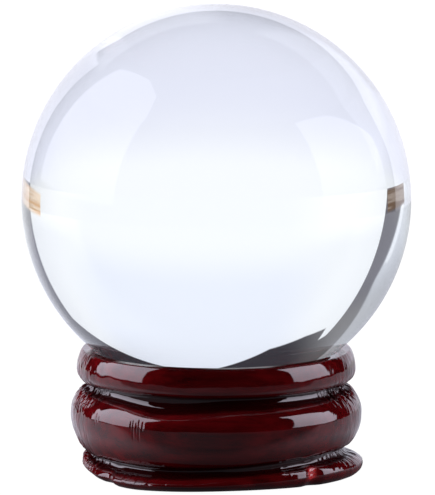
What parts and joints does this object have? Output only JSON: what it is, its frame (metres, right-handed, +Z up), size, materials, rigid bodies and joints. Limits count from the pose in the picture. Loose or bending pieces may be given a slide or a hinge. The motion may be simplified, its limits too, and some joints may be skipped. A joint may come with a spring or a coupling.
{
  "type": "crystal ball",
  "caption": "Solid clear glass ball that rests in the dish of a turned, lacquered wooden stand and lifts straight out of it.",
  "frame": {"origin": "centre of the stand's base, on the surface it stands on, under the middle of the ball", "axes": "+Z up through the middle of the ball, -Y the front, +X to the right seen from the front"},
  "size_m": [0.04, 0.04, 0.0483],
  "materials": {
    "glass": "clear, polished",
    "lacquered_wood": "cherry red stain under thick glossy lacquer"
  },
  "bodies": {
    "stand": {"wooden_stand": "lacquered_wood"},
    "ball": {"glass_ball": "glass"}
  },
  "joints": [
    {"name": "ball_lift", "type": "slide", "parent": "stand", "child": "ball", "axis": [0, 0, 1], "range_m": [0, 0.025]}
  ]
}
